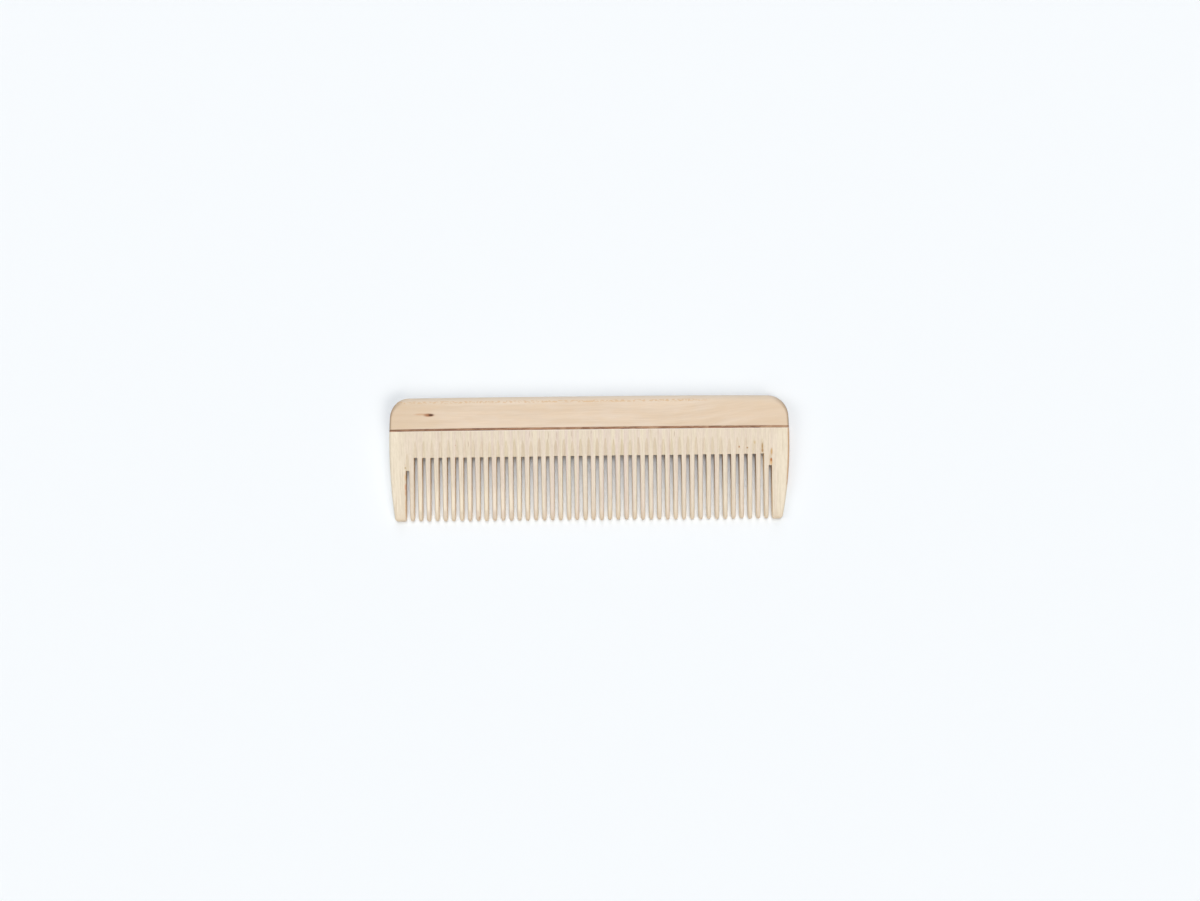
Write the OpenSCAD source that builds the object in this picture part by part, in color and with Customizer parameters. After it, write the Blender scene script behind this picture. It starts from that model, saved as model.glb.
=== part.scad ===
// A wooden pocket comb lying on one face, in millimetres. Its length runs along X, its teeth point
// along -Y and Z is up. A dark veneer strip joins the back, whose grain runs along the comb, to the
// blade, whose grain runs down the teeth. Both faces taper from the back to the tooth tips.

/* [Blank] */
// Length from end to end
comb_length = 122; // [100:1:180]
// Width from the tooth tips to the long edge of the back
comb_width = 38; // [35:0.1:50]
// Thickness beside the rounded tooth tips
tip_t = 2.6; // [1.8:0.1:4]
// Thickness beside the rounded long edge of the back
back_t = 4.9; // [4.2:0.1:7]
// Radius of the two large corners
corner_r = 6.4; // [4:0.1:9]
// Radius of the guard teeth's outer corners
guard_corner_r = 1; // [0.5:0.1:1.5]
// Radius of the bow of each end, seen from above
end_bow_r = 130; // [90:5:400]
// Height of the comb's widest point above its middle
end_bow_y = 4; // [0:0.5:8]
// Rounding of the end edges
edge_r = 0.8; // [0.3:0.1:1.2]

/* [Pieces] */
// Width of the back, from its long edge to the strip
back_w = 9.25; // [8.5:0.05:11]
// Width of the dark strip as it shows
strip_w = 0.8; // [0.4:0.1:1.5]
// Glue line on each side of the strip
glue_gap = 0.02; // [0.01:0.01:0.1]

/* [Teeth] */
// Distance from tooth to tooth
pitch = 2.515; // [2.2:0.005:3.5]
// Length of a tooth
tooth_l = 19.9; // [14:0.1:21]
// How much shorter the two end gaps are
end_gap_short = 3.6; // [0:0.1:6]
// Least width of a guard tooth beside the gap
guard_w = 5.5; // [4:0.5:8]
// Width of a gap at its root
root_gap = 1.03; // [0.8:0.01:1.2]
// Width of a gap where the tips begin to narrow
tip_gap = 1.09; // [0.8:0.01:1.3]
// Length over which a tip narrows
tip_taper_l = 2.1; // [1:0.1:3]
// Width left at the very end of a tip
tip_end_w = 0.4; // [0.2:0.05:0.6]

/* [Tooth edges] */
// Width of the groove between two teeth at the root, on each face
root_groove_w = 1.25; // [0.9:0.01:1.4]
// Width of the groove between two teeth at the tips, on each face
tip_groove_w = 2.05; // [1.4:0.05:2.1]
// How far each groove runs out above its gap
run_out_l = 6; // [2:0.5:7]

/* [Hidden] */

// The section across the comb is a long drop: two circles and the lines that touch both
tip_y = -comb_width / 2;
tip_r = tip_t / 2;
back_r = back_t / 2;
half_taper = atan((back_r - tip_r) / (comb_width - tip_r - back_r));
tip_c = tip_y + tip_r;
back_c = tip_c + (comb_width - tip_r - back_r) / cos(half_taper);
apex = tip_c - tip_r / sin(half_taper);

// Places across the comb, on its middle plane
strip_top = comb_width / 2 - back_w;
strip_bottom = strip_top - strip_w;
root_y = tip_y + tooth_l;
end_root_y = root_y - end_gap_short;

// The gaps: one more than the teeth, and the guard teeth take what is left of the length
tooth_n = round((comb_length - 2 * guard_w - tip_gap) / pitch);
first_gap_x = -tooth_n / 2 * pitch;

// Middle of the arc that bows the right end
bow_c = [comb_length / 2 - end_bow_r, end_bow_y];

// The circle that rounds the tips is a little larger than half their thickness, so it meets each
// face in an edge
tip_round_r = 1.02 * tip_r;

// Steps of the curves: round the edge from face to face, and along each arc of the outline
edge_steps = 12;
corner_steps = 8;
guard_steps = 4;
bow_steps = 6;
tip_steps = 4;

// How far a cutter passes through what it cuts: well past an end, a little above a face, and
// just past a curve that it would otherwise only touch
over = 1;
face_over = 0.1;
touch_over = 0.02;

function arc(c, r, a0, a1, steps) =
    [for (i = [0 : steps]) let (a = a0 + (a1 - a0) * i / steps) c + r * [cos(a), sin(a)]];

// The same places the other way round, on the left half
function flipped(list) = [for (i = [len(list) - 1 : -1 : 0]) [-list[i].x, list[i].y]];

// Centre of a corner of radius r, at height y, inside a bow of radius bow
function corner_c(bow, r, y) = [bow_c.x + sqrt(pow(bow - r, 2) - pow(y - bow_c.y, 2)), y];

// Direction from the middle of the bow to a place
function bow_angle(p) = atan2(p.y - bow_c.y, p.x - bow_c.x);

// Right half of the outline, from below the tips to the long edge. Angle a goes round the edge of
// the comb: -90 is the lower face, 0 the middle plane and 90 the upper face.
function half_outline(a) =
    let (
        depth = (1 - abs(sin(a))) * (tip_r + back_r) / 2,
        side_in = depth < edge_r ? edge_r - sqrt(pow(edge_r, 2) - pow(edge_r - depth, 2)) : 0,
        back_in = back_r * (1 - cos(a)),
        bow = end_bow_r - side_in,
        r = corner_r - (side_in + back_in) / 2,
        c = corner_c(bow, r, back_c + back_r - back_in - r),
        side = arc(bow_c, bow, asin((tip_y - over - bow_c.y) / bow), bow_angle(c), bow_steps)
    )
    concat([for (i = [0 : bow_steps - 1]) side[i]], arc(c, r, bow_angle(c), 90, corner_steps));

// The whole outline at angle a, lifted onto its plane through the apex of the taper
function outline(a) =
    let (right = half_outline(a), lift = asin(sin(half_taper) * sin(a)))
    [for (p = concat(right, flipped(right))) let (reach = p.y - apex)
        [p.x, apex + reach * cos(lift), reach * sin(lift)]];

// The comb before it is cut into pieces and toothed, with its middle plane on XY
module blank() {
    rings = [for (k = [0 : edge_steps]) outline(-90 + 180 * k / edge_steps)];
    n = len(rings[0]);
    last = edge_steps * n;
    polyhedron(
        points = [for (ring = rings) for (p = ring) p],
        faces = concat(
            [[for (i = [0 : n - 1]) i]],
            [[for (i = [n - 1 : -1 : 0]) last + i]],
            [for (k = [0 : edge_steps - 1]) for (i = [0 : n - 1])
                let (j = (i + 1) % n) [k * n + i, (k + 1) * n + i, (k + 1) * n + j, k * n + j]]
        )
    );
}

// Everything between two places across the comb
module band(y0, y1) {
    translate([-comb_length / 2 - over, y0, -back_t])
        cube([comb_length + 2 * over, y1 - y0, 2 * back_t]);
}

// Right side of a gap round x = 0, from its root down past the tips, which narrow in a quarter
// ellipse each side
function gap_side(root) =
    let (
        full = (pitch - tip_gap) / 2,
        end = tip_end_w / 2,
        end_a = acos(end / full)
    )
    concat(
        [[root_gap / 2, root]],
        [for (i = [0 : tip_steps]) let (a = end_a * i / tip_steps)
            [pitch / 2 - full * cos(a), tip_y + tip_taper_l * (1 - sin(a) / sin(end_a))]],
        [[pitch / 2 - end, tip_y - over]]
    );

// Where gap i lies, and its root
function gap_x(i) = first_gap_x + i * pitch;
function gap_root(i) = i == 0 || i == tooth_n ? end_root_y : root_y;

// Plan of the blade: straight along its joint with the strip, toothed, with a rounded corner on
// each guard tooth. Its ends lie outside the comb.
module blade_plan() {
    top_y = strip_bottom - glue_gap;
    far_x = comb_length / 2 + over;
    c = corner_c(end_bow_r + touch_over, guard_corner_r, tip_y + guard_corner_r - touch_over);
    corner = concat(
        [[c.x, tip_y - over]],
        arc(c, guard_corner_r, -90, bow_angle(c), guard_steps),
        [[far_x, c.y]]
    );
    gaps = [for (i = [0 : tooth_n]) let (side = gap_side(gap_root(i)))
        each [for (p = concat(flipped(side), side)) [gap_x(i) + p.x, p.y]]];
    polygon(concat([[-far_x, top_y]], flipped(corner), gaps, corner, [[far_x, top_y]]));
}

// Section of the blade with its rounded tips, open towards the back
module tip_section() {
    translate([tip_y + tip_round_r, 0]) {
        circle(tip_round_r, $fn = 48);
        translate([0, -back_t]) square([comb_width, 2 * back_t]);
    }
}

// A groove with a right angle at its foot, cut into the plane z = 0: shallow where it runs out
// above the gap, then slowly deeper down to the tips
module groove(root) {
    slope = (tip_groove_w - root_groove_w) / 2 / (root - tip_y);
    stations = [
        [root + run_out_l, 0],
        [root + face_over, root_groove_w / 2],
        [tip_y - over, tip_groove_w / 2 + slope * over]
    ];
    polyhedron(
        points = [for (s = stations) for (side = [-1, 0, 1])
            [side * (s[1] + face_over), s[0], side == 0 ? -s[1] : face_over]],
        faces = concat(
            [[0, 1, 2], [8, 7, 6]],
            [for (k = [0, 3]) for (e = [[0, 1], [1, 2], [2, 0]])
                [k + e[0], k + 3 + e[0], k + 3 + e[1], k + e[1]]]
        )
    );
}

// Moves what is cut into z = 0 onto both faces
module on_faces() {
    for (m = [0, 1]) mirror([0, 0, m])
        translate([0, apex, 0]) rotate([half_taper, 0, 0]) translate([0, -apex, 0]) children();
}

// Lays the comb down on its lower face
module lay_down() {
    translate([0, tip_c, tip_r]) rotate([half_taper, 0, 0]) translate([0, -tip_c, 0]) children();
}

module spine() {
    color("#e8d3bc") lay_down() intersection() {
        blank();
        band(strip_top + glue_gap, comb_width);
    }
}

module inlay_strip() {
    color("#7d5a45") lay_down() intersection() {
        blank();
        band(strip_bottom, strip_top);
    }
}

module toothed_blade() {
    color("#eaddc6") lay_down() difference() {
        intersection() {
            blank();
            linear_extrude(height = 2 * back_t, center = true) blade_plan();
            rotate([90, 0, 90])
                linear_extrude(height = comb_length + 2 * over, center = true) tip_section();
        }
        for (i = [0 : tooth_n]) translate([gap_x(i), 0, 0]) on_faces() groove(gap_root(i));
    }
}

spine();
inlay_strip();
toothed_blade();
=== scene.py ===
import math
import random

import bmesh
import bpy
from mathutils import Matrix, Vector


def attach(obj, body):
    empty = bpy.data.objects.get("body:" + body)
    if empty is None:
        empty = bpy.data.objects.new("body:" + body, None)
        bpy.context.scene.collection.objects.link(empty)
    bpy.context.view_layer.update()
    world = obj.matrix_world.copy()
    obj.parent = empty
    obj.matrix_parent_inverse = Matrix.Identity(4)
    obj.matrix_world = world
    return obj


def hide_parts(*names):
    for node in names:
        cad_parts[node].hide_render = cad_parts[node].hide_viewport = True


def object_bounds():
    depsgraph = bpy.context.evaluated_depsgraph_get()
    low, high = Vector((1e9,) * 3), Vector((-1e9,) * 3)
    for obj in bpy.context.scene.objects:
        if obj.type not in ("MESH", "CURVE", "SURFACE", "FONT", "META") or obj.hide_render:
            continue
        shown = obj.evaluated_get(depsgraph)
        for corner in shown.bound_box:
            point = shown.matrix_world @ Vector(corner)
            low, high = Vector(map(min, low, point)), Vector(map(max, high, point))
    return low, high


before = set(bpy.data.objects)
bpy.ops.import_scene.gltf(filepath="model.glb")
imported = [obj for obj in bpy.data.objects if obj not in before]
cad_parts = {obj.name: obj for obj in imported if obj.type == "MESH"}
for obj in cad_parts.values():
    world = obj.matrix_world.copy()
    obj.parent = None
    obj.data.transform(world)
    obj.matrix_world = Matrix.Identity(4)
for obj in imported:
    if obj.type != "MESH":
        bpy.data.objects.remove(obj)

mm = 0.001
hair = 0.001 * mm        # places closer than this are one place
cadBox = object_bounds()     # the CAD model's box, before any new piece

# The comb's form before it is cut into pieces. Places across it (y) are on its middle plane,
# and it is modelled with that plane on XY, then laid down on its lower face.
form = {
    "length": cadBox[1][0] - cadBox[0][0],
    "width": cadBox[1][1] - cadBox[0][1],
    "backRadius": (cadBox[1][2] - cadBox[0][2]) / 2 - hair,      # inside the CAD's box
    "tipRadius": 1.3 * mm,
    "bowRadius": 130 * mm,       # the slight bow of both ends
    "bowHeight": 4 * mm,         # where the comb is longest
    "edgeRadius": 0.8 * mm,      # sanded edge along both ends
    "backWidth": 9.25 * mm,
    "stripWidth": 0.8 * mm,
    "leftJointDrop": 0.24 * mm,  # the strip's line is slightly bowed, and so is the long edge
    "rightJointDrop": 0.14 * mm,
    "leftEdgeDrop": 0.18 * mm,
    "rightEdgeDrop": 0.4 * mm,
    "dropPower": 3,              # higher keeps that bow nearer to the ends
    "dropFade": 2 * mm,          # below the strip the bow fades out over this
    "edgeSteps": 24,
    "bowSteps": 24,
    "smoothBelow": 35,           # degrees between two faces that still look like one
}

tipRadius, backRadius = form["tipRadius"], form["backRadius"]
tipY = -form["width"] / 2
tipCentre = tipY + tipRadius
halfTaper = math.atan((backRadius - tipRadius) / (form["width"] - tipRadius - backRadius))
backCentre = tipCentre + (form["width"] - tipRadius - backRadius) / math.cos(halfTaper)
apexY = tipCentre - tipRadius / math.sin(halfTaper)
stripTop = form["width"] / 2 - form["backWidth"]
stripBottom = stripTop - form["stripWidth"]

# Levels through the thickness, -1 on the lower face, 0 in the middle and 1 on the upper face,
# closer together near the faces, where the edges are round
levels = [math.sin(math.radians(-90 + 180 * i / form["edgeSteps"])) for i in range(form["edgeSteps"] + 1)]


def mix(a, b, part):
    return a + (b - a) * part


def roundIn(radius, depth):     # how far a round edge lies inside the side, this deep below the face
    depth = min(max(depth, 0), radius)
    return radius - math.sqrt(radius ** 2 - (radius - depth) ** 2)


def liftAt(y, level):           # height above the middle plane, where both faces taper to the tips
    return (y - apexY) * math.tan(math.asin(math.sin(halfTaper) * level))


def sideIn(level):
    return roundIn(form["edgeRadius"], (1 - abs(level)) * (tipRadius + backRadius) / 2)


def endX(y, level, radius=form["bowRadius"]):      # the bowed end with its round edges
    bow = math.sqrt((radius - sideIn(level)) ** 2 - (y - form["bowHeight"]) ** 2)
    return form["length"] / 2 - radius + bow


def dropAt(x, y):
    # How far the bowed strip and long edge lie below a straight line
    side = "left" if x < 0 else "right"
    outward = abs(2 * x / form["length"]) ** form["dropPower"]
    if y < stripTop:
        return outward * form[side + "JointDrop"] * max(0, 1 - (stripTop - y) / form["dropFade"])
    up = (y - stripTop) / form["backWidth"]
    return outward * mix(form[side + "JointDrop"], form[side + "EdgeDrop"], up)


def pointsBetween(start, end):    # places on the straight line between two others
    parts = [i / form["bowSteps"] for i in range(1, form["bowSteps"])]
    return [(mix(start[0], end[0], part), mix(start[1], end[1], part)) for part in parts]


def ringOf(right, left, level):
    # A ring from its two halves, both given as right ones from bottom to top. The long sides
    # between them are bowed, and each place is lifted to its level.
    left = [(-x, y) for x, y in reversed(left)]
    plan = right + pointsBetween(right[-1], left[0]) + left + pointsBetween(left[-1], right[0])
    lowered = [(x, y - dropAt(x, y)) for x, y in plan]
    return [(x, y, liftAt(y, level)) for x, y in lowered]


def deselectAll():
    if bpy.context.mode != "OBJECT":
        bpy.ops.object.mode_set(mode="OBJECT")
    bpy.ops.object.select_all(action="DESELECT")


def activate(obj):
    deselectAll()
    obj.select_set(True)
    bpy.context.view_layer.objects.active = obj


def editMode(obj, kind):
    activate(obj)
    bpy.ops.object.mode_set(mode="EDIT")
    bpy.ops.mesh.select_mode(type=kind)


def extrudeRings(name, rings):
    # A filled circle takes the form of the first ring, and is extruded through the others
    deselectAll()
    bpy.ops.mesh.primitive_circle_add(vertices=len(rings[0]), radius=form["width"], fill_type="NGON")
    obj = bpy.context.object
    obj.name = name
    editMode(obj, "FACE")
    bpy.ops.mesh.select_all(action="SELECT")
    order = list(range(len(rings[0])))
    for number, ring in enumerate(rings):
        if number:
            bpy.ops.mesh.extrude_region_move()
        mesh = bmesh.from_edit_mesh(obj.data)
        mesh.verts.ensure_lookup_table()
        if number:
            order = [next(edge.other_vert(mesh.verts[i]).index for edge in mesh.verts[i].link_edges
                          if edge.other_vert(mesh.verts[i]).select) for i in order]
        for i, place in zip(order, ring):
            mesh.verts[i].co = place
        bmesh.update_edit_mesh(obj.data)
    bpy.ops.object.mode_set(mode="OBJECT")
    return obj


def selectFaces(obj, test):
    editMode(obj, "FACE")
    bpy.ops.mesh.select_all(action="DESELECT")
    mesh = bmesh.from_edit_mesh(obj.data)
    for face in mesh.faces:
        face.select_set(test(face))
    bmesh.update_edit_mesh(obj.data)


def weldAndTurnOut(obj, distance=hair):
    editMode(obj, "VERT")
    bpy.ops.mesh.select_all(action="SELECT")
    bpy.ops.mesh.remove_doubles(threshold=distance)
    bpy.ops.mesh.dissolve_degenerate(threshold=distance)
    bpy.ops.mesh.select_all(action="SELECT")
    bpy.ops.mesh.normals_make_consistent(inside=False)
    bpy.ops.object.mode_set(mode="OBJECT")


def layDown(obj):               # turns the lower face flat onto the table
    activate(obj)
    obj.rotation_euler = (halfTaper, 0, 0)
    obj.location = (0, tipCentre * (1 - math.cos(halfTaper)), tipRadius - tipCentre * math.sin(halfTaper))
    bpy.ops.object.transform_apply(location=True, rotation=True, scale=True)


def smoothFaces(obj, degrees):
    activate(obj)
    bpy.ops.object.shade_smooth_by_angle(angle=math.radians(degrees), keep_sharp_edges=True)
    bpy.ops.object.modifier_add(type="WEIGHTED_NORMAL")
    bpy.context.object.modifiers[-1].keep_sharp = True
    bpy.ops.object.modifier_apply(modifier=bpy.context.object.modifiers[-1].name)


def markFacing(obj, name, direction, test, slack=0.1):
    # 1 where the surface faces along the given axis, 0 where it lies across it and in places that
    # don't pass the test
    facing = obj.data.attributes.new(name, "FLOAT", "POINT")
    for vertex, row in zip(obj.data.vertices, facing.data):
        if test(vertex.co):
            row.value = max(0, abs(vertex.normal[direction]) - slack) / (1 - slack)


# The back: a bar with a fully round long edge, whose two corners blend that round edge into the
# smaller one of the ends
back = {
    "leftCorner": 5.6 * mm,        # as sanded by hand, a little off the drawing's 6.4 mm
    "rightCorner": 6.2 * mm,
    "bowPoints": 8,
    "cornerPoints": 20,
}


def backHalf(corner, level):      # the right half of the back's outline at a level
    backIn = backRadius * (1 - math.sqrt(1 - level ** 2))
    bow = form["bowRadius"] - sideIn(level)
    radius = corner - (sideIn(level) + backIn) / 2
    centreY = backCentre + backRadius - backIn - radius
    bowX = form["length"] / 2 - form["bowRadius"]
    centreX = bowX + math.sqrt((bow - radius) ** 2 - (centreY - form["bowHeight"]) ** 2)
    start = math.atan2(centreY - form["bowHeight"], centreX - bowX)
    cornerY = form["bowHeight"] + bow * math.sin(start)
    right = []
    for i in range(back["bowPoints"]):
        y = stripTop + (cornerY - stripTop) * i / back["bowPoints"]
        right.append((endX(y, level), y))
    for i in range(back["cornerPoints"] + 1):
        turn = start + (math.pi / 2 - start) * i / back["cornerPoints"]
        right.append((centreX + radius * math.cos(turn), centreY + radius * math.sin(turn)))
    return right


def backRing(level):
    return ringOf(backHalf(back["rightCorner"], level), backHalf(back["leftCorner"], level), level)


backPiece = extrudeRings("back_bar", [backRing(level) for level in levels])
weldAndTurnOut(backPiece)
markFacing(backPiece, "endGrain", 0, lambda at: True)
smoothFaces(backPiece, form["smoothBelow"])
layDown(backPiece)
print("back made:", len(backPiece.data.polygons), "faces")


# The dark strip, on edge between the back and the blade
def stripRing(level):
    half = [(endX(y, level), y) for y in (stripBottom, stripTop)]
    return ringOf(half, half, level)


stripPiece = extrudeRings("dark_strip", [stripRing(level) for level in levels])
weldAndTurnOut(stripPiece)
smoothFaces(stripPiece, form["smoothBelow"])
layDown(stripPiece)
print("strip made:", len(stripPiece.data.polygons), "faces")


# The blade. It is made of cells as wide as the pitch, each with a tooth in its middle and half a
# gap on each side. Above a gap's root the groove that sharpened the teeth runs out.
blade = {
    "pitch": 2.515 * mm,
    "teeth": 44,
    "toothLength": 19.9 * mm,
    "endGapShort": 3.6 * mm,
    "rootGap": 1.03 * mm,
    "tipGap": 1.19 * mm,
    "tipTaper": 2.1 * mm,          # length over which a tip narrows
    "tipBlunt": 3.4,               # 2 gives elliptical tips, more gives blunter ones
    "tipRounding": 1.02,           # radius of the tips' section, as a share of half their thickness
    "rootGroove": 1.25 * mm,       # width of the sharpening groove on each face
    "tipGroove": 2.05 * mm,
    "flankDepth": 2.0,             # how much deeper than wide the round edges of a tooth are
    "flankMost": 0.8,              # they take at most this share of half the thickness
    "edgeMost": 0.68,              # and this share of half a tooth's width
    "runOut": 6 * mm,
    "runOutPower": 3.4,            # how suddenly the groove narrows at its upper end
    "runOutDepth": 0.4,            # its depth, as a share of half its width
    "runOutInside": 0.97,          # share of it that is coloured as a groove
    "guardCorner": 1 * mm,
    "leftBow": 175 * mm,           # the bow of each end below its widest place: flatter at the left
    "rightBow": 115 * mm,
    "lastGapNarrower": 0.14 * mm,  # on the right guard tooth's side
    "cornerSteps": 6,              # points round a tooth's long edges
    "runOutSteps": 8,
    "runOutCrowding": 1.3,         # over 1 crowds its rows towards its upper end
    "plainRow": 0.4 * mm,          # an even row of faces above it
    "rootStep": 0.08 * mm,         # a narrow row of faces below each root
    # over this length below a root, the walls that face left get painted shade
    "burnAndShadeLength": 14 * mm,
    "toothSteps": 9,
    "tipSteps": 9,
    "patternShift": -0.18 * mm,    # the row of teeth lies a little left of the comb's middle
    "seed": 7,
    "lean": 0.05 * mm,
    "leanPower": 2,                # a higher one keeps the lean nearer to the tip
    "shorter": 0.16 * mm,
    "shorterPower": 3,             # the same
    "leftShorter": 0.2 * mm,       # and the teeth at the left are this much shorter still,
    "leftShare": 0.8,              # fading out over this share of the row
    "rootShift": 0.06 * mm,
    "rootPower": 4,                # a higher one keeps the shift nearer to the root
    "rootTilt": 0.28 * mm,         # the roots rise by this much from the left end to the right
    "leftRootLower": 0.45 * mm,
    "grooveShort": 0.18,           # share of the groove's length that may be missing
    "smoothBelow": 30,             # degrees, as above
}
pitch = blade["pitch"]
halfPitch = pitch / 2
rootY = tipY + blade["toothLength"]
endRootY = rootY - blade["endGapShort"]
firstGapX = -blade["teeth"] / 2 * pitch + blade["patternShift"]
lastGapX = firstGapX + blade["teeth"] * pitch
tipRound = blade["tipRounding"] * tipRadius


def halfHeight(y):              # half the thickness, with the round tips
    reach = tipY + tipRound - y
    if reach <= 0:
        return liftAt(y, 1)
    return min(liftAt(y, 1), math.sqrt(max(0, tipRound ** 2 - reach ** 2)))


def gapHalf(y, root):           # half the gap's width, which opens in a round curve at the tips
    down = (root - y) / (root - tipY)
    half = mix(blade["rootGap"], blade["tipGap"], down) / 2
    left = min(max((y - tipY) / blade["tipTaper"], 0), 1)
    blunt = blade["tipBlunt"]
    return halfPitch - (halfPitch - half) * (1 - (1 - left) ** blunt) ** (1 / blunt)


def grooveHalf(y, root):        # half the groove's width on the face, which is also its depth
    if y > root:
        up = min(1, (y - root) / blade["runOut"])
        return blade["rootGroove"] / 2 * (1 - up ** blade["runOutPower"])
    return mix(blade["rootGroove"], blade["tipGroove"], (root - y) / (root - tipY)) / 2


def gapSide(y, root, cut):
    # From the lower face to the upper one, as distances from the middle of the gap: the two
    # flanks of the grooves, or, where the gap is cut through, a tooth's side and its round edges
    high = halfHeight(y)
    steps = blade["cornerSteps"]
    if cut:
        half = gapHalf(y, root)
        edge = max(0, min(grooveHalf(y, root) - half, blade["edgeMost"] * (halfPitch - half)))
        drop = min(edge * blade["flankDepth"], blade["flankMost"] * high)
        turns = [math.pi / 2 * i / steps for i in range(steps + 1)]
        upper = [(half + edge * (1 - math.cos(t)), high - drop * (1 - math.sin(t))) for t in turns]
    else:
        half = grooveHalf(y, root)
        deep = half * blade["runOutDepth"]
        upper = [(half * i / steps, high - deep * (1 - i / steps)) for i in range(steps + 1)]
    return [(x, -z) for x, z in reversed(upper)] + upper


def outerSide(y, lowerBow):
    # The comb's own end, from the lower face to the upper one, with the guard tooth's corner. Below
    # its widest place an end may have a bow of its own.
    bow = lowerBow if y < form["bowHeight"] else form["bowRadius"]
    corner = roundIn(blade["guardCorner"], y - tipY)
    thin = halfHeight(y) / liftAt(y, 1)
    return [(endX(y, level, bow) - corner, liftAt(y, level) * thin) for level in levels]


def rowsBetween(start, end, steps, power=1.0):
    return [mix(start, end, (i / steps) ** power) for i in range(1, steps + 1)]


def cellRows(leftRoot, rightRoot):
    # The same rows for every cell, from the strip down to the tips, each with a flag for either side
    # that says whether the gap is cut through there. A root has two rows in one place, which make
    # its square end.
    places = {stripBottom, rootY + blade["runOut"] + blade["plainRow"]}
    for root in (rootY, endRootY):
        upper = root + blade["runOut"]
        places.update((root - blade["rootStep"], upper))
        places.update(rowsBetween(upper, root, blade["runOutSteps"], blade["runOutCrowding"]))
    tipStart = tipY + blade["tipTaper"]
    places.update(rowsBetween(endRootY, tipStart, blade["toothSteps"]))
    for i in range(1, blade["tipSteps"] + 1):
        places.add(tipY + blade["tipTaper"] * (1 - math.sin(math.pi / 2 * i / blade["tipSteps"])))
    rows = []
    for y in sorted(places, reverse=True):
        rows.append((y, y < leftRoot, y < rightRoot))
        if y in (leftRoot, rightRoot):
            rows.append((y, y <= leftRoot, y <= rightRoot))
    return rows


def toothCell(name, leftRoot, rightRoot):
    rings = []
    for y, leftCut, rightCut in cellRows(leftRoot, rightRoot):
        left = [(x - halfPitch, y, z) for x, z in gapSide(y, leftRoot, leftCut)]
        right = [(halfPitch - x, y, z) for x, z in gapSide(y, rightRoot, rightCut)]
        rings.append(left + right[::-1])
    cell = extrudeRings(name, rings)
    openBorders(cell, (-halfPitch, halfPitch))
    markSawn(cell, ((-halfPitch, leftRoot), (halfPitch, rightRoot)))
    return cell


def guardCell(name, gapX, lowerBow, narrower):
    # A left guard tooth whose gap's middle will lie at gapX, and is at x = 0 here. Its side of the
    # gap may be narrower.
    rings = []
    for y, leftCut, rightCut in cellRows(endRootY, endRootY):
        left = [(-x - gapX, y, z) for x, z in outerSide(y, lowerBow)]
        right = [(narrower * rightCut - x, y, z) for x, z in gapSide(y, endRootY, rightCut)]
        rings.append(left + right[::-1])
    guard = extrudeRings(name, rings)
    openBorders(guard, (0,))
    markSawn(guard, ((narrower, endRootY),))
    return guard


def openBorders(obj, borders):
    # The faces where a cell meets its neighbour, and the cap at the very tip, come away
    def inner(face):
        xs = [v.co.x for v in face.verts]
        if all(abs(v.co.y - tipY) < hair for v in face.verts):
            return True
        return any(max(abs(x - border) for x in xs) < hair for border in borders)
    selectFaces(obj, inner)
    bpy.ops.mesh.delete(type="FACE")
    bpy.ops.object.mode_set(mode="OBJECT")


def copyTo(obj, x, flip=False):
    activate(obj)
    bpy.ops.object.duplicate()
    new = bpy.context.object
    if flip:
        bpy.ops.transform.mirror(constraint_axis=(True, False, False), center_override=(0, 0, 0))
    bpy.ops.transform.translate(value=(x, 0, 0))
    bpy.ops.object.transform_apply(location=True, rotation=True, scale=True)
    return new


def markSawn(obj, gaps):
    # Sawn is 1 on the saw's walls, less on the round edges beside them and 0 on the sanded faces.
    # Walls that face left get painted shade near the root, with a little saw scorch in it. Groove is 1 in
    # the run-outs. Gaps are given as the x of their middle and the y of their root.
    names = ("sawn", "burnAndShade", "groove")
    for name in names:
        obj.data.attributes.new(name, "FLOAT", "POINT")
    sawn, burnAndShade, groove = (obj.data.attributes[name].data for name in names)
    inside = blade["runOutInside"]
    for i, vertex in enumerate(obj.data.vertices):
        x, y = vertex.co.xy
        for middle, root in gaps:
            off = abs(x - middle)
            if y < root - hair and off < halfPitch + hair:
                wall = gapHalf(y, root)
                edge = max(grooveHalf(y, root) - wall, hair)
                sawn[i].value = max(sawn[i].value, min(1, max(0, 1 - (off - wall) / edge)))
                if x > middle:
                    burnAndShade[i].value = sawn[i].value * max(0, 1 - (root - y) / blade["burnAndShadeLength"])
            if root - hair < y < root + inside * blade["runOut"] and off < inside * grooveHalf(y, root):
                groove[i].value = 1


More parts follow.
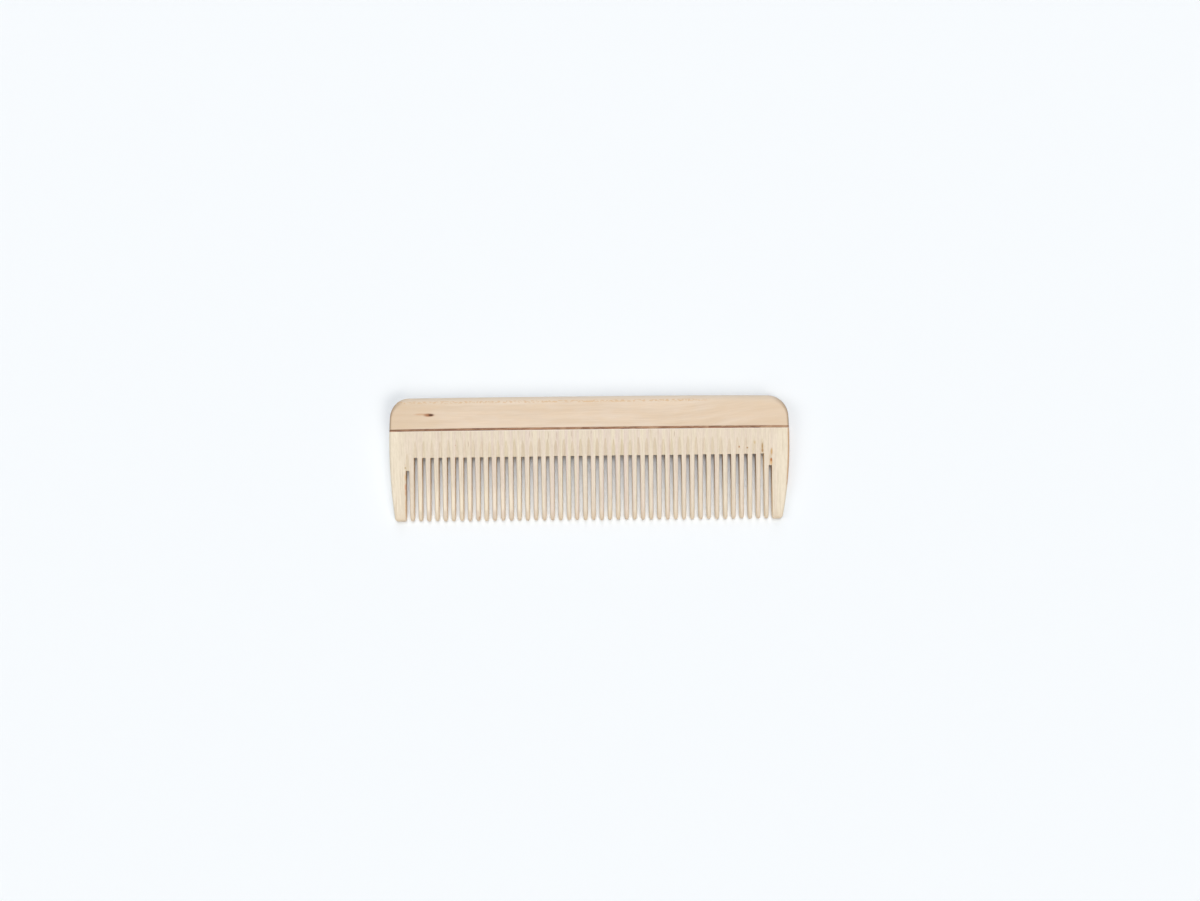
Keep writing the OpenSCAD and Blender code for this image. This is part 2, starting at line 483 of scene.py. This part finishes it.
def unevenTeeth(obj):
    # No two teeth are quite alike: tips lean and differ in length, roots and grooves in height
    chance = random.Random(blade["seed"])
    teeth = blade["teeth"]
    leans = [chance.uniform(-1, 1) * blade["lean"] for i in range(teeth + 2)]
    shorter = [chance.uniform(0, 1) * blade["shorter"] for i in range(teeth + 2)]
    atLeft = [max(0, 1 - i / (blade["leftShare"] * teeth)) for i in range(teeth + 2)]
    shorter = [s + blade["leftShorter"] * share for s, share in zip(shorter, atLeft)]
    roots = [chance.uniform(-1, 1) * blade["rootShift"] for i in range(teeth + 1)]
    roots = [r + blade["rootTilt"] * (i / teeth - 0.5) for i, r in enumerate(roots)]
    grooves = [chance.uniform(1 - blade["grooveShort"], 1) for i in range(teeth + 1)]
    leans[0] = leans[-1] = shorter[-1] = 0
    roots[0] = -blade["leftRootLower"]
    for vertex in obj.data.vertices:
        x, y, z = vertex.co
        tooth = min(max(math.floor((x - firstGapX) / pitch) + 1, 0), teeth + 1)
        gap = min(max(round((x - firstGapX) / pitch), 0), teeth)
        root = endRootY if gap in (0, teeth) else rootY
        near = abs(x - firstGapX - gap * pitch) < halfPitch + hair
        move = 0
        if y < root - hair:
            down = (root - y) / (root - tipY)
            vertex.co.x = x + leans[tooth] * down ** blade["leanPower"]
            move = roots[gap] * (1 - down) ** blade["rootPower"] if near else 0
            move += shorter[tooth] * down ** blade["shorterPower"]
        elif near and y < root + blade["runOut"] + hair:
            up = (y - root) / blade["runOut"]
            move = roots[gap] * (1 - up) - (1 - grooves[gap]) * blade["runOut"] * up
        move -= dropAt(x, y)
        if move:
            # the faces taper, so a place that moves along them also changes its height
            vertex.co.y = y + move
            vertex.co.z = z * liftAt(y + move, 1) / liftAt(y, 1)


cell = toothCell("tooth_cell", rootY, rootY)
endCell = toothCell("end_tooth_cell", endRootY, rootY)
# the right guard tooth is made as a left one and then mirrored
leftGuard = guardCell("left_guard", firstGapX, blade["leftBow"], 0)
rightGuard = guardCell("right_guard", -lastGapX, blade["rightBow"], blade["lastGapNarrower"])

cells = [copyTo(cell, firstGapX + halfPitch + pitch * i) for i in range(1, blade["teeth"] - 1)]
cells.append(copyTo(endCell, firstGapX + halfPitch))
cells.append(copyTo(endCell, lastGapX - halfPitch, flip=True))
cells.append(copyTo(leftGuard, firstGapX))
cells.append(copyTo(rightGuard, lastGapX, flip=True))
deselectAll()
for piece in (cell, endCell, leftGuard, rightGuard):
    piece.select_set(True)
bpy.ops.object.delete()
for piece in cells:
    piece.select_set(True)
bpy.context.view_layer.objects.active = cells[0]
bpy.ops.object.join()
bladePiece = bpy.context.object
bladePiece.name = "blade_with_teeth"
weldAndTurnOut(bladePiece)
markFacing(bladePiece, "endGrain", 1, lambda at: at.y < tipY + blade["tipTaper"])
markFacing(bladePiece, "rim", 0, lambda at: at.x > lastGapX + 2 * pitch)     # only the right end
unevenTeeth(bladePiece)
smoothFaces(bladePiece, blade["smoothBelow"])
layDown(bladePiece)
print("blade made:", len(bladePiece.data.polygons), "faces")


# Floor, camera and light
stage = {
    "floorSize": 40.0,             # m, so that low views end on the floor
    "floorGap": 0.02 * mm,         # keeps it just below the comb's lower face
    "lens": 50,                    # mm
    "sensor": 36,                  # mm wide
    "photoWidth": 1200,            # the photograph's frame, in its own pixels
    "photoHeight": 901,
    "pixel": 0.3045 * mm,          # size of one of those pixels on the comb's upper face
    "combPixel": (589, 458),       # the middle of the comb in the photograph
    "turn": -0.0107,               # radians; the comb lies slightly turned in the frame
    "faceHeight": 3.9 * mm,        # of the comb's upper face, where that pixel size holds
}


def pixelToComb(px, py):
    # From a pixel of the photograph to the comb's own x and y
    right = (px - stage["combPixel"][0]) * stage["pixel"]
    up = (stage["combPixel"][1] - py) * stage["pixel"]
    cos, sin = math.cos(stage["turn"]), math.sin(stage["turn"])
    return right * cos - up * sin, right * sin + up * cos


deselectAll()
bpy.ops.mesh.primitive_plane_add(size=stage["floorSize"], location=(0, 0, -stage["floorGap"]))
floor = bpy.context.object
floor.name = "floor"

viewWidth = stage["photoWidth"] * stage["pixel"]
distance = viewWidth * stage["lens"] / stage["sensor"]
eye = pixelToComb((stage["photoWidth"] - 1) / 2, (stage["photoHeight"] - 1) / 2)
bpy.ops.object.camera_add(location=(eye[0], eye[1], stage["faceHeight"] + distance),
                          rotation=(0, 0, stage["turn"]))
camera = bpy.context.object
camera.data.lens = stage["lens"]
camera.data.sensor_width = stage["sensor"]
bpy.context.scene.camera = camera
bpy.context.scene.view_settings.view_transform = "Standard"


def srgbToLinear(hexColour):
    parts = [int(hexColour[i:i + 2], 16) / 255 for i in (1, 3, 5)]
    return tuple(c / 12.92 if c <= 0.04045 else ((c + 0.055) / 1.055) ** 2.4 for c in parts) + (1.0,)


def addNode(tree, kind, inputs, **settings):
    # Adds a node with its settings. An input is given a value, or the socket that feeds it.
    node = tree.nodes.new(kind)
    for name, value in settings.items():
        setattr(node, name, value)
    for socket, value in inputs.items():
        if isinstance(value, bpy.types.NodeSocket):
            tree.links.new(value, node.inputs[socket])
        else:
            node.inputs[socket].default_value = value
    return node


def newMaterial(name):
    material = bpy.data.materials.new(name)
    material.use_nodes = True
    return material, material.node_tree, material.node_tree.nodes["Principled BSDF"]


def placeInMm(tree):
    place = addNode(tree, "ShaderNodeTexCoord", {}).outputs["Object"]
    scale = (1 / mm, 1 / mm, 1 / mm)
    return addNode(tree, "ShaderNodeVectorMath", {0: place, 1: scale}, operation="MULTIPLY").outputs[0]


def grain(tree, place, size, low, high, detail, offset):
    # A mask of noise whose cells have the given size in millimetres. It is 0 where the noise is
    # below the low value and 1 above the high one.
    scaled = addNode(tree, "ShaderNodeVectorMath", {0: place, 1: size}, operation="DIVIDE").outputs[0]
    moved = addNode(tree, "ShaderNodeVectorMath", {0: scaled, 1: (offset, offset, offset)}).outputs[0]
    noise = addNode(tree, "ShaderNodeTexNoise", {"Vector": moved, "Scale": 1.0, "Detail": detail})
    return between(tree, noise.outputs["Fac"], low, high)


def between(tree, value, low, high, atLow=0.0, atHigh=1.0):     # a soft step from one to the other
    return addNode(tree, "ShaderNodeMapRange", {0: value, 1: low, 2: high, 3: atLow, 4: atHigh},
                   interpolation_type="SMOOTHSTEP").outputs[0]


def times(tree, first, second):
    return addNode(tree, "ShaderNodeMath", {0: first, 1: second}, operation="MULTIPLY").outputs[0]


def blend(tree, factor, first, second, kind="MIX"):
    inputs = {0: factor, 6: first, 7: second}
    return addNode(tree, "ShaderNodeMix", inputs, data_type="RGBA", blend_type=kind).outputs[2]


def paint(tree, factor, colour, hexColour):     # covers a colour with another one
    return blend(tree, factor, colour, srgbToLinear(hexColour))


def tint(tree, mask, colour, atZero, atOne):
    # Multiplies a colour by a tint that goes from one to another with the mask
    return blend(tree, 1.0, colour, blend(tree, mask, atZero, atOne), "MULTIPLY")


def addMarks(tree, place, colour, marks, softFrom=0.3):
    # Small stains and pores, and a patch of painted light: middle x, y, z and half sizes in millimetres,
    # colour and strength.
    # From a share of their size outwards they fade.
    for middle, size, hexColour, strength in marks:
        away = addNode(tree, "ShaderNodeVectorMath", {0: place, 1: middle}, operation="SUBTRACT").outputs[0]
        inSizes = addNode(tree, "ShaderNodeVectorMath", {0: away, 1: size}, operation="DIVIDE").outputs[0]
        reach = addNode(tree, "ShaderNodeVectorMath", {0: inSizes}, operation="LENGTH").outputs["Value"]
        colour = paint(tree, between(tree, reach, 1.0, softFrom, 0.0, strength), colour, hexColour)
    return colour


def setSurface(tree, shader, colour, wood):
    tree.links.new(colour, shader.inputs["Base Color"])
    shader.inputs["Roughness"].default_value = wood["roughness"]
    shader.inputs["Specular IOR Level"].default_value = wood["gloss"]


def addRelief(tree, shader, height, strength, depth):
    bump = addNode(tree, "ShaderNodeBump", {"Height": height, "Strength": strength, "Distance": depth})
    tree.links.new(bump.outputs[0], shader.inputs["Normal"])


# In the woods' dictionaries a pattern is the size of its cells in mm, the noise values where its
# mask is 0 and 1, the noise's detail and an offset. A fade is two places, and after them the
# strengths there if they aren't 0 and 1. X and Y fades, and Out ones from the comb's middle to its
# ends, have places in mm. Sawn and Facing ones go by those marks, from 0 to 1. Tints multiply a
# colour.

# Maple, planed and sanded, with its grain down the teeth: soft bands about a tooth wide, fine
# straight fibres and short flecks. The tips show end grain, a shade darker. The saw has scorched
# the walls of the gaps. The walls are painted paler as painted light, with painted shade on those
# that face left, and the teeth at the left carry a painted highlight.
maple = {
    "plain": "#e0d2c1",
    "plainEnds": "#e1d3bf",                    # the same wood towards the ends
    "endsOut": (10.0, 36.0),
    "light": "#e4dac0",                        # the two tones of the bands
    "dark": "#ddccc0",
    "band": ((1.3, 80.0, 4.0), 0.34, 0.66, 3.0, 0.0),
    "bandOut": (14.0, 38.0, 0.65, 0.35),       # the bands are softer towards the ends
    "guard": "#e7dbc5",
    "guardOut": (54.5, 59.0),
    "fibre": ((0.26, 8.0, 1.0), 0.3, 0.7, 3.0, 0.0),     # coarser than real, to show in the render
    "fibreTints": ((0.93, 0.92, 0.9, 1), (1.04, 1.04, 1.05, 1)),
    "relief": (0.4, 0.02 * mm),                # strength and depth of the fibres on the surface
    "fleck": ((0.4, 1.4, 0.8), 0.35, 0.65, 2.0, 17.0),
    "fleckTints": ((0.975, 0.97, 0.96, 1), (1.02, 1.02, 1.03, 1)),
    "line": ((0.45, 24.0, 1.6), 0.62, 0.72, 2.0, 31.0),     # a few long brown fibres
    "lineColour": "#bfa284",
    "lineStrength": 0.35,
    "groove": "#f4f2ea",                       # a tint: partly the cut wood's tone, partly painted shade of the groove
    "grooveOut": (12.0, 40.0, 1.0, 0.6),
    "tip": "#d0b796",
    "tipY": (-15.2, -17.6, 0.0, 0.4),
    "tipOut": (40.0, 10.0, 0.5, 1.0),
    "paintedHighlight": "#fff2d8",                     # a painted highlight on the lower halves of the teeth at the left
    "paintedHighlightX": (-7.0, -24.0, 0.0, 0.4),
    "paintedHighlightOut": (54.0, 53.0),
    "paintedHighlightUpperY": (-7.0, -12.0),
    "paintedHighlightLowerY": (-16.2, -14.8),
    "paintedHighlightSawn": (0.12, 0.0),
    "endGrain": "#d3b48e",
    "endGrainStrength": 0.2,
    "rim": "#c08a58",                          # the right end's edge: partly a sanding burn, partly painted shade where the edge turns away
    "rimFacing": (0.0, 0.5),
    "rimY": (-4.0, -12.0, 0.7, 0.95),
    "edgeHighlight": "#f6f1e6",                     # a painted highlight in a thin line beside the strip
    "edgeHighlightY": (stripBottom / mm - 0.3, stripBottom / mm - 0.15, 0.0, 0.8),
    "rootWall": "#fae3bc",                     # the sawn walls of the gaps: the cut wood's tone, painted paler as painted light
    "tipWall": "#fae9ce",
    "wallY": (0.0, -9.0),
    "wallSawn": (0.55, 0.95),
    "burnAndShade": "#7d5636",                        # painted shade on the walls that face left, away from the light, near the roots, with some saw scorch
    "burnAndShadeX": (-10.0, 40.0, 0.65, 0.8),
    "scorch": "#d09a62",                       # patches on the walls of the gaps at the left
    "scorchPatch": ((6.0, 4.0, 1.0), 0.42, 0.62, 2.0, 11.0),
    "scorchX": (-18.0, -45.0, 0.05, 0.3),
    "scorchSawn": (0.4, 0.8),
    "roughness": 0.55,
    "gloss": 0.25,                             # bare wood, sanded but not varnished
    "marks": [
        ((-36.8, 4.8, 4.1), (0.14, 1.3, 0.8), "#b08c74", 0.6),
        ((-18.2, 7.6, 4.3), (0.12, 1.6, 0.8), "#a98a6c", 0.6),
        ((-17.3, 7.3, 4.3), (0.12, 1.2, 0.8), "#b5977a", 0.5),
        ((-12.4, 7.1, 4.3), (0.12, 1.8, 0.8), "#a98a6c", 0.6),
        ((-9.9, 7.1, 4.3), (0.14, 1.8, 0.8), "#a98a6c", 0.6),
        ((-5.4, 7.5, 4.3), (0.12, 1.4, 0.8), "#a98a6c", 0.6),
        ((0.6, 8.0, 4.3), (0.1, 0.7, 0.8), "#a98a6c", 0.6),
        ((25.9, 7.3, 4.3), (0.14, 1.3, 0.8), "#a98a6c", 0.6),
        ((-40.8, 4.4, 4.1), (0.22, 0.3, 0.5), "#c58f78", 0.6),
        ((45.6, 3.1, 3.9), (0.32, 0.5, 0.7), "#ad7a48", 0.9),
        ((48.1, 2.8, 3.9), (0.38, 0.38, 0.7), "#a9824c", 0.9),
        ((50.4, 4.4, 3.9), (0.4, 0.8, 0.8), "#cbb078", 0.6),
        ((52.65, 3.2, 3.9), (0.32, 1.6, 1.0), "#b08d5e", 1.0),
        ((52.7, 1.9, 3.9), (0.45, 0.9, 1.0), "#ab8355", 0.9),
        ((55.5, 1.6, 3.8), (0.4, 1.6, 1.2), "#c99a5a", 0.8),
        ((55.35, -1.6, 3.6), (0.5, 1.4, 1.0), "#d9a765", 0.7),
        ((55.35, -0.9, 3.6), (0.42, 0.8, 1.0), "#ad6a2e", 1.0),
        ((55.5, -4.2, 2.6), (0.4, 2.0, 2.2), "#c08a5a", 0.35),
        # painted light on the wall of the right guard tooth, in the last gap
        ((55.5, -11.0, 1.6), (0.4, 9.0, 3.4), "#f8d3a0", 0.6),
        ((-56.2, -1.4, 3.6), (0.3, 0.5, 0.8), "#dcc0a6", 0.5),
        ((-56.15, -2.3, 3.5), (0.35, 0.55, 0.8), "#b99f6c", 0.7),
        ((-56.2, -5.2, 2.8), (0.42, 1.5, 2.6), "#e0bb88", 0.8),
        ((-56.2, -8.2, 2.6), (0.42, 1.9, 2.6), "#d6a077", 0.8),
        ((-56.15, -10.1, 2.5), (0.4, 1.2, 2.6), "#d4a06c", 0.7),
        ((-56.15, -14.0, 2.2), (0.45, 4.8, 2.4), "#e2be92", 0.7),
        ((-38.3, -5.0, 3.2), (0.3, 1.3, 1.0), "#b98350", 0.7),
        ((-33.8, -17.8, 2.3), (0.4, 0.8, 1.0), "#ad7f57", 0.6),
    ],
}


def mapleMaterial():
    material, tree, shader = newMaterial("sanded_maple")
    place = placeInMm(tree)
    parts = addNode(tree, "ShaderNodeSeparateXYZ", {0: place})
    x, y = parts.outputs["X"], parts.outputs["Y"]
    out = addNode(tree, "ShaderNodeMath", {0: x}, operation="ABSOLUTE").outputs[0]

    bands = grain(tree, place, *maple["band"])
    banded = blend(tree, bands, srgbToLinear(maple["light"]), srgbToLinear(maple["dark"]))
    ends = between(tree, out, *maple["endsOut"])
    plain = paint(tree, ends, srgbToLinear(maple["plain"]), maple["plainEnds"])
    colour = blend(tree, between(tree, out, *maple["bandOut"]), plain, banded)
    colour = paint(tree, between(tree, out, *maple["guardOut"]), colour, maple["guard"])
    fibres = grain(tree, place, *maple["fibre"])
    colour = tint(tree, fibres, colour, *maple["fibreTints"])
    colour = tint(tree, grain(tree, place, *maple["fleck"]), colour, *maple["fleckTints"])
    lines = times(tree, grain(tree, place, *maple["line"]), maple["lineStrength"])
    colour = paint(tree, lines, colour, maple["lineColour"])

    groove = addNode(tree, "ShaderNodeAttribute", {}, attribute_name="groove").outputs["Fac"]
    groove = times(tree, groove, between(tree, out, *maple["grooveOut"]))
    # The run-outs' tint is partly the cut wood's own tone and partly painted shade
    tinted = blend(tree, 1.0, colour, srgbToLinear(maple["groove"]), "MULTIPLY")
    colour = blend(tree, groove, colour, tinted)
    tips = times(tree, between(tree, y, *maple["tipY"]), between(tree, out, *maple["tipOut"]))
    colour = paint(tree, tips, colour, maple["tip"])
    sawn = addNode(tree, "ShaderNodeAttribute", {}, attribute_name="sawn").outputs["Fac"]
    # A painted highlight on the tops of the teeth at the left, between their middles and their tips
    paintedHighlight = between(tree, sawn, *maple["paintedHighlightSawn"])
    paintedHighlight = times(tree, paintedHighlight, between(tree, x, *maple["paintedHighlightX"]))
    paintedHighlight = times(tree, paintedHighlight, between(tree, out, *maple["paintedHighlightOut"]))
    paintedHighlight = times(tree, paintedHighlight, between(tree, y, *maple["paintedHighlightUpperY"]))
    paintedHighlight = times(tree, paintedHighlight, between(tree, y, *maple["paintedHighlightLowerY"]))
    colour = paint(tree, paintedHighlight, colour, maple["paintedHighlight"])
    endGrain = addNode(tree, "ShaderNodeAttribute", {}, attribute_name="endGrain").outputs["Fac"]
    colour = paint(tree, times(tree, endGrain, maple["endGrainStrength"]), colour, maple["endGrain"])
    # Partly a sanding burn, partly painted shade, on the side of the right end
    rim = addNode(tree, "ShaderNodeAttribute", {}, attribute_name="rim").outputs["Fac"]
    rim = times(tree, between(tree, rim, *maple["rimFacing"]), between(tree, y, *maple["rimY"]))
    colour = paint(tree, rim, colour, maple["rim"])
    # A painted highlight in a thin pale line on the blade beside the strip
    colour = paint(tree, between(tree, y, *maple["edgeHighlightY"]), colour, maple["edgeHighlight"])

    # The sawn walls are painted paler than the wood, as painted light in the narrow gaps
    down = between(tree, y, *maple["wallY"])
    walls = paint(tree, down, srgbToLinear(maple["rootWall"]), maple["tipWall"])
    colour = blend(tree, between(tree, sawn, *maple["wallSawn"]), colour, walls)
    # Painted shade, with a little scorch, on the walls that face left
    burnAndShade = addNode(tree, "ShaderNodeAttribute", {}, attribute_name="burnAndShade").outputs["Fac"]
    burnAndShade = times(tree, burnAndShade, between(tree, x, *maple["burnAndShadeX"]))
    colour = paint(tree, burnAndShade, colour, maple["burnAndShade"])
    scorched = times(tree, grain(tree, place, *maple["scorchPatch"]), between(tree, x, *maple["scorchX"]))
    scorched = times(tree, scorched, between(tree, sawn, *maple["scorchSawn"]))
    colour = paint(tree, scorched, colour, maple["scorch"])
    colour = addMarks(tree, place, colour, maple["marks"])
    setSurface(tree, shader, colour, maple)
    addRelief(tree, shader, fibres, *maple["relief"])
    return material


# Pear wood, planed and sanded, with its grain along the comb: pale peach, almost even, with a pin
# knot near one end and a row of small flecks under the rounded edge
pear = {
    "light": "#e2cfb9",
    "deep": "#dbc6ad",
    "riseX": (20.0, 60.0, 0.0, -4.0),          # towards the right end the grain rises by 4 mm
    "band": ((28.0, 1.4, 3.0), 0.3, 0.7, 2.0, 5.0),
    "blotch": ((5.0, 1.6, 2.0), 0.3, 0.7, 2.0, 23.0),
    "blotchTints": ((1.0, 0.985, 0.96, 1), (1.0, 1.01, 1.03, 1)),
    "fibre": ((5.0, 0.24, 0.8), 0.3, 0.7, 4.0, 0.0),     # coarser than real, to show in the render
    "fibreTints": ((0.965, 0.96, 0.955, 1), (1.02, 1.02, 1.025, 1)),
    "relief": (0.3, 0.015 * mm),
    "leftEnd": "#d4bc9e",
    "leftEndX": (-40.0, -60.0, 0.0, 0.6),
    "rightEnd": "#dac2a5",
    "rightEndX": (35.0, 55.0, 0.0, 0.5),
    "edgeBand": "#d3bd9e",                     # along the rounded edge, with the flecks in it
    "edgeBandLowerY": (17.0, 17.4),
    "edgeBandUpperY": (18.0, 17.7),
    "edgeBandStrength": 0.25,
    "fleck": "#cb9a50",
    "fleckSpot": ((0.9, 0.4, 1.5), 0.46, 0.58, 2.0, 3.0),
    "fleckX": (40.0, 30.0),
    "fleckStrength": 0.8,
    # painted light on the top of the rounded long edge
    "litLongEdge": "#eddac5",
    "litLongEdgeY": (16.7, 17.6, 0.0, 0.4),
    # the ends' darker end grain, darkened further as painted shade on the rounded ends
    "endGrain": "#917050",
    "endGrainStrength": 0.8,
    "roughness": 0.5,
    "gloss": 0.25,
    "marks": [
        ((-51.2, 13.95, 4.4), (3.0, 0.5, 1.2), "#c4946c", 0.5),
        ((-48.7, 13.7, 4.6), (2.2, 0.75, 1.0), "#a2683e", 0.9),
        ((-48.1, 13.72, 4.6), (1.15, 0.44, 0.9), "#3a1d10", 0.95),
        ((-56.7, 17.2, 3.5), (1.6, 0.3, 0.8), "#c08f62", 0.6),
    ],
}


def pearMaterial():
    material, tree, shader = newMaterial("sanded_pear_wood")
    place = placeInMm(tree)
    parts = addNode(tree, "ShaderNodeSeparateXYZ", {0: place})
    x, y = parts.outputs["X"], parts.outputs["Y"]
    rise = addNode(tree, "ShaderNodeCombineXYZ", {"Y": between(tree, x, *pear["riseX"])}).outputs[0]
    along = addNode(tree, "ShaderNodeVectorMath", {0: place, 1: rise}).outputs[0]

    bands = grain(tree, along, *pear["band"])
    colour = blend(tree, bands, srgbToLinear(pear["light"]), srgbToLinear(pear["deep"]))
    colour = tint(tree, grain(tree, along, *pear["blotch"]), colour, *pear["blotchTints"])
    fibres = grain(tree, along, *pear["fibre"])
    colour = tint(tree, fibres, colour, *pear["fibreTints"])
    colour = paint(tree, between(tree, x, *pear["leftEndX"]), colour, pear["leftEnd"])
    colour = paint(tree, between(tree, x, *pear["rightEndX"]), colour, pear["rightEnd"])

    band = between(tree, y, *pear["edgeBandLowerY"])
    band = times(tree, band, between(tree, y, *pear["edgeBandUpperY"]))
    colour = paint(tree, times(tree, band, pear["edgeBandStrength"]), colour, pear["edgeBand"])
    flecks = times(tree, grain(tree, place, *pear["fleckSpot"]), band)
    flecks = times(tree, flecks, between(tree, x, *pear["fleckX"]))
    colour = paint(tree, times(tree, flecks, pear["fleckStrength"]), colour, pear["fleck"])
    # Painted light on the top of the rounded long edge
    colour = paint(tree, between(tree, y, *pear["litLongEdgeY"]), colour, pear["litLongEdge"])
    # End grain, and painted shade, on both rounded ends
    endGrain = addNode(tree, "ShaderNodeAttribute", {}, attribute_name="endGrain").outputs["Fac"]
    colour = paint(tree, times(tree, endGrain, pear["endGrainStrength"]), colour, pear["endGrain"])
    colour = addMarks(tree, place, colour, pear["marks"])
    setSurface(tree, shader, colour, pear)
    addRelief(tree, shader, fibres, *pear["relief"])
    return material


# Walnut veneer on edge: dark brown with fine darker fibres along the comb
walnut = {
    "light": "#ac8465",
    "dark": "#7a5743",
    "fibre": ((3.0, 0.3, 0.8), 0.3, 0.7, 3.0, 0.0),
    "pale": "#b9987a",
    "paleMottle": ((2.2, 1.2, 2.0), 0.45, 0.7, 2.0, 9.0),
    "paleX": (-40.0, 40.0, 0.35, 0.8),         # it shows more towards the right end
    "roughness": 0.5,
    "gloss": 0.25,
}


def walnutMaterial():
    material, tree, shader = newMaterial("walnut_veneer")
    place = placeInMm(tree)
    fibres = grain(tree, place, *walnut["fibre"])
    colour = blend(tree, fibres, srgbToLinear(walnut["dark"]), srgbToLinear(walnut["light"]))
    x = addNode(tree, "ShaderNodeSeparateXYZ", {0: place}).outputs["X"]
    mottle = times(tree, grain(tree, place, *walnut["paleMottle"]), between(tree, x, *walnut["paleX"]))
    colour = paint(tree, mottle, colour, walnut["pale"])
    setSurface(tree, shader, colour, walnut)
    return material


# Matt white paper under the comb
paper = {"colour": "#eff3f6", "roughness": 0.9}


def paperMaterial():
    material, tree, shader = newMaterial("matt_white_paper")
    shader.inputs["Base Color"].default_value = srgbToLinear(paper["colour"])
    shader.inputs["Roughness"].default_value = paper["roughness"]
    return material


floor.data.materials.append(paperMaterial())
for piece, node, slot, material in ((backPiece, "spine", "back_wood", pearMaterial()),
                                    (stripPiece, "inlay_strip", "strip_veneer", walnutMaterial()),
                                    (bladePiece, "toothed_blade", "blade_wood", mapleMaterial())):
    piece.data.materials.append(material)
    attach(piece, "root")
    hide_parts(node)
print("materials made")


# Soft studio light. Each lamp is a sun with a wide disc, so the whole floor is lit evenly. The
# values are azimuth (0 is to the right, 90 behind the comb), elevation and width of the disc in
# degrees, strength and colour: daylight from above and behind, slightly warmer from the front.
lights = {
    "above": (0, 90, 25, 0.46, "#f4f9ff"),
    "low_behind": (90, 32, 35, 0.61, "#f4f9ff"),
    "high_behind": (90, 70, 30, 1.34, "#f4f9ff"),
    "low_front": (-90, 32, 35, 0.39, "#fff6ec"),
    "front_right": (-45, 45, 35, 1.17, "#fff6ec"),
    "left": (180, 44, 35, 0.77, "#fffaf4"),
}
backdrop = {"colour": "#f9fcff", "strength": 1.0}

for name, (azimuth, elevation, width, strength, colour) in lights.items():
    turn = (0, math.radians(90 - elevation), math.radians(azimuth))
    bpy.ops.object.light_add(type="SUN", location=(0, 0, 1), rotation=turn)
    lamp = bpy.context.object
    lamp.name = name + "_light"
    lamp.data.angle = math.radians(width)
    lamp.data.energy = strength
    lamp.data.color = srgbToLinear(colour)[:3]

# The pale backdrop beyond the floor is seen, but gives no light of its own
world = bpy.data.worlds.new("studio")
bpy.context.scene.world = world
world.use_nodes = True
seen = addNode(world.node_tree, "ShaderNodeLightPath", {}).outputs["Is Camera Ray"]
background = world.node_tree.nodes["Background"]
background.inputs["Color"].default_value = srgbToLinear(backdrop["colour"])
world.node_tree.links.new(times(world.node_tree, seen, backdrop["strength"]), background.inputs["Strength"])
print("lights made:", len(lights))
